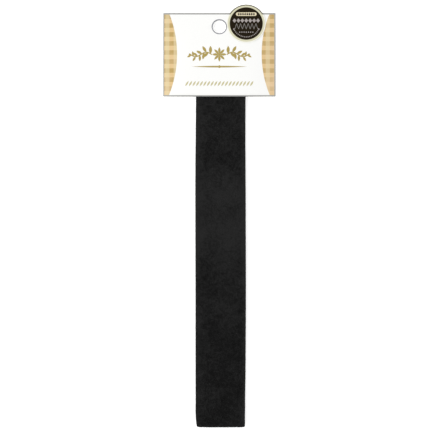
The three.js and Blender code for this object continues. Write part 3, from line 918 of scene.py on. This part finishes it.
print_motifs("gold_stems", stems, BAR, card, gold_ink, film=STEM_FILM)
print_motifs("gold_rule", [(0, RULE_Y, 0, *RULE_SIZE)], RULE, card, gold_ink)

dots = [(0, ORNAMENT_Y, 0, ROSETTE_DOT, ROSETTE_DOT), (0, RULE_Y, 0, RULE_DOT, RULE_DOT)]
for side in (-1, 1):
    dots.append((side * (VINE_END + VINE_DOT_PAST), ORNAMENT_Y, 0, VINE_DOT, VINE_DOT))
print_motifs("gold_dots", dots, DOT, card, gold_ink, film=DOT_FILM)

pale_row = in_row(0, PALE_ROW_Y, PALE_ROW_COUNT, PALE_ROW_PITCH, LEAF_LEAN, PALE_LEAF)
print_motifs("pale_leaves", pale_row, PETAL, card, pale_ink)


# The round label
# A disc of glossy paper stuck on the front leaf, so that part of it stands over the card's top. It is
# printed black inside a cream rim, and a grey line of painted shade runs round it where it stands over the
# top.

LABEL_SIDES = 48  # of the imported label's outline
LABEL_WITHIN = 0.9995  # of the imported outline's inner reach, so that every ray strikes it
LABEL_RINGS = 14
LABEL_SPOKES = 96
LABEL_RAY = 20 * MM  # from the label's middle, on either side
DISC_RADIUS = 9.9 * MM
RIM_RADIUS = 11.1 * MM
EDGE_SHADE_RADIUS = 10.95 * MM  # of the inner edge of the grey line of painted shade over the card's top

label_low, label_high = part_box("round_label")
label_middle = (label_low + label_high) / 2
label_radius = LABEL_WITHIN * (label_high.x - label_low.x) / 2 * math.cos(math.pi / LABEL_SIDES)

# Gloss-coated paper: the black is deep and slightly brown, and takes a soft shine.
label_paper, tree, shader = new_material("gloss_label_paper", Roughness=0.35, Specular_IOR_Level=0.08)
place = add_node(tree, "ShaderNodeTexCoord").outputs["Object"]
spread = add_node(tree, "ShaderNodeSeparateXYZ", (place,)).outputs
from_middle = from_point(tree, place, label_middle.x, label_middle.y)
cream = mottled(tree, 3 * MM, "#d9d6bb", "#d1ceb1")
black = mottled(tree, 3 * MM, "#1b1406", "#211909")
face = print_over(tree, cream, black, from_middle, DISC_RADIUS)
face = print_over(tree, face, linear("#f4f3ea"), from_middle, RIM_RADIUS, beyond=True)
# painted shade: a grey line round the label where it stands over the card's top
edge_shaded = print_over(tree, face, linear("#6b685b"), from_middle, EDGE_SHADE_RADIUS, beyond=True)
face = print_over(tree, edge_shaded, face, spread["Y"], card_high.y - FOLD_SHADE_LINE)
feed(shader, {"Base Color": face})

# The label's bare back and cut edge: uncoated paper under dried glue, dull and yellowish.
label_back = mottled_material(
    "uncoated_label_paper", 1.5 * MM, "#ecebe0", "#e3e0d1", Roughness=0.8, Specular_IOR_Level=0.3
)

label_surface = cad_surface("round_label")
bm = bmesh.new()
rims = []
for side in (1, -1):
    rings = []
    for i in range(LABEL_RINGS + 1):
        ring = []
        for j in range(LABEL_SPOKES if i else 1):
            reach = label_radius * i / LABEL_RINGS
            turn = 2 * math.pi * j / LABEL_SPOKES
            start = Vector((reach * math.cos(turn), reach * math.sin(turn), side * LABEL_RAY))
            struck = label_surface.ray_cast(label_middle + start, Vector((0, 0, -side)))[0]
            ring.append(bm.verts.new(struck))
        rings.append(ring)
    for inner, outer in zip(rings, rings[1:]):
        for j in range(LABEL_SPOKES):
            after = (j + 1) % LABEL_SPOKES
            near = inner if len(inner) == 1 else (inner[after], inner[j])
            bm.faces.new((outer[j], outer[after], *near)).material_index = 0 if side > 0 else 1
    rims.append(rings[-1])
for j in range(LABEL_SPOKES):
    after = (j + 1) % LABEL_SPOKES
    edge_face = bm.faces.new((rims[0][j], rims[0][after], rims[1][after], rims[1][j]))
    edge_face.material_index = 1
label = piece_of(bm, "round_sticker", label_paper, label_back)
faced_out(label)
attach(label, "root")
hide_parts("round_label")


# The label's print
# Plain shapes in cream and silver ink: a capsule, a bold row of lozenges, a fine zigzag, a
# short row of dots, and an arc of dots inside the rim.

CAPSULE_ABOVE = 5.7 * MM
CAPSULE_LENGTH = 12.4 * MM
CAPSULE_HEIGHT = 2.2 * MM
CAPSULE_STEPS = 32
CAPSULE_DOTS = 8
CAPSULE_DOT_PITCH = 1.3 * MM
CAPSULE_DOT = (1.3 * MM, 1.6 * MM)
CAPSULE_DOT_FILM = 2 * INK_FILM
BOLD_ABOVE = 1.75 * MM
BOLD_COUNT = 7
BOLD_PITCH = 2.35 * MM
BOLD_LOZENGE = (2.2 * MM, 2.7 * MM)
ZIGZAG_BELOW = 1.7 * MM
ZIGZAG_COUNT = 12
ZIGZAG_PITCH = 1.15 * MM
ZIGZAG_HEIGHT = 3.4 * MM
ZIGZAG_LINE = 0.3 * MM
SHORT_ROW_BELOW = 5.3 * MM
SHORT_ROW_COUNT = 7
SHORT_ROW_PITCH = 1.3 * MM
SHORT_ROW_DOT = (0.7 * MM, 0.7 * MM)
ARC_DOTS = 19
ARC_DOT = 0.6 * MM
ARC_END_DOT = 0.9 * MM
ARC_RADIUS = 8.2 * MM
ARC_FROM = math.radians(205)
ARC_TO = math.radians(335)
LABEL_INK_PATCH = 1.2 * MM

# Cream ink, opaque and matt over the black.
cream_ink = mottled_material(
    "cream_label_ink", LABEL_INK_PATCH, "#e6dcbf", "#d8cba6", Roughness=0.5, Specular_IOR_Level=0.2
)

# Black ink over the cream, as flat as the label's own black.
dark_ink = mottled_material(
    "black_label_ink", LABEL_INK_PATCH, "#2a221c", "#3a3029", Roughness=0.4, Specular_IOR_Level=0.2
)

# Silver ink: a neutral grey that catches a little more light than the cream.
silver_ink = mottled_material(
    "silver_label_ink", LABEL_INK_PATCH, "#b3aba8", "#9d9592", Roughness=0.4, Metallic=0.3
)

# Thin silver ink: the same, printed so finely that the black dulls it.
thin_ink = mottled_material(
    "thin_silver_ink", LABEL_INK_PATCH, "#8b8783", "#77736f", Roughness=0.45, Specular_IOR_Level=0.2
)


def round_ended(x):
    """The half height of a bar with round ends, at -1 to 1 along it."""
    into_end = max(0, 1 - (1 - abs(x)) * CAPSULE_LENGTH / CAPSULE_HEIGHT)
    return math.sqrt(1 - into_end**2)


LOZENGE = (2, lambda x: 1 - abs(x))

x, y = label_middle.x, label_middle.y
capsule = [(x, y + CAPSULE_ABOVE, 0, CAPSULE_LENGTH, CAPSULE_HEIGHT)]
round_bar = (CAPSULE_STEPS, round_ended)
print_motifs("label_capsule", capsule, round_bar, label, cream_ink)

dots = in_row(x, y + CAPSULE_ABOVE, CAPSULE_DOTS, CAPSULE_DOT_PITCH, 0, CAPSULE_DOT)
print_motifs("label_capsule_dots", dots, LOZENGE, label, dark_ink, film=CAPSULE_DOT_FILM)

bold_row = in_row(x, y + BOLD_ABOVE, BOLD_COUNT, BOLD_PITCH, 0, BOLD_LOZENGE)
print_motifs("label_lozenges", bold_row, LOZENGE, label, silver_ink)

lean = math.atan2(ZIGZAG_HEIGHT, ZIGZAG_PITCH)
stroke = (math.hypot(ZIGZAG_HEIGHT, ZIGZAG_PITCH), ZIGZAG_LINE)
zigzag = [
    (x + (i - (ZIGZAG_COUNT - 1) / 2) * ZIGZAG_PITCH, y - ZIGZAG_BELOW, lean * (-1) ** i, *stroke)
    for i in range(ZIGZAG_COUNT)
]
print_motifs("label_zigzag", zigzag, BAR, label, thin_ink)

fine_dots = in_row(x, y - SHORT_ROW_BELOW, SHORT_ROW_COUNT, SHORT_ROW_PITCH, 0, SHORT_ROW_DOT)
for i in range(ARC_DOTS):
    turn = ARC_FROM + (ARC_TO - ARC_FROM) * i / (ARC_DOTS - 1)
    dot = ARC_END_DOT if i in (0, ARC_DOTS - 1) else ARC_DOT
    fine_dots.append((x + ARC_RADIUS * math.cos(turn), y + ARC_RADIUS * math.sin(turn), 0, dot, dot))
print_motifs("label_dots", fine_dots, DOT, label, silver_ink)


# The floor, the light and the camera
# A white sheet under the part, an even white sky, one broad soft light up to the left, and
# a long lens straight above.

FLOOR_REACH = 3.0
FLOOR_BELOW = 0.05 * MM
FLOOR_GLOW = 0.55
SKY_STRENGTH = 0.76
SOFTBOX_SIDE = 1.0
SOFTBOX_POWER = 9.5
SOFTBOX_PLACE = (-0.9, 0.1, 1.1)
LENS = 200
SENSOR = 36
VIEW_WIDTH = 266.9 * MM
CAMERA_OVER = (1.88 * MM, -0.98 * MM)

# Matt white card, lit through so that shadows on it stay faint.
sheet_white, tree, shader = new_material("white_floor_sheet", Roughness=0.9, Emission_Strength=FLOOR_GLOW)
shader.inputs["Base Color"].default_value = linear("#f4f4f4")
shader.inputs["Emission Color"].default_value = linear("#ffffff")
corners = ((-1, -1), (1, -1), (1, 1), (-1, 1))
corners = [(x * FLOOR_REACH, y * FLOOR_REACH, -FLOOR_BELOW) for x, y in corners]
floor_mesh = bpy.data.meshes.new("floor")
floor_mesh.from_pydata(corners, [], [(0, 1, 2, 3)])
floor_mesh.materials.append(sheet_white)
new_piece("floor", floor_mesh)

sky = bpy.data.worlds.new("even_white_sky")
sky.use_nodes = True
sky.node_tree.nodes["Background"].inputs["Color"].default_value = (1, 1, 1, 1)
sky.node_tree.nodes["Background"].inputs["Strength"].default_value = SKY_STRENGTH
bpy.context.scene.world = sky

softbox_light = bpy.data.lights.new("softbox", "AREA")
softbox_light.size = SOFTBOX_SIDE
softbox_light.energy = SOFTBOX_POWER
softbox = bpy.data.objects.new("softbox", softbox_light)
softbox.location = SOFTBOX_PLACE
softbox.rotation_euler = (-softbox.location).to_track_quat("-Z", "Y").to_euler()
bpy.context.scene.collection.objects.link(softbox)

lens = bpy.data.cameras.new("camera")
lens.lens = LENS
lens.sensor_width = SENSOR
camera = bpy.data.objects.new("camera", lens)
camera.location = (*CAMERA_OVER, VIEW_WIDTH * LENS / SENSOR)
bpy.context.scene.collection.objects.link(camera)
bpy.context.scene.camera = camera
bpy.context.scene.view_settings.view_transform = "Standard"
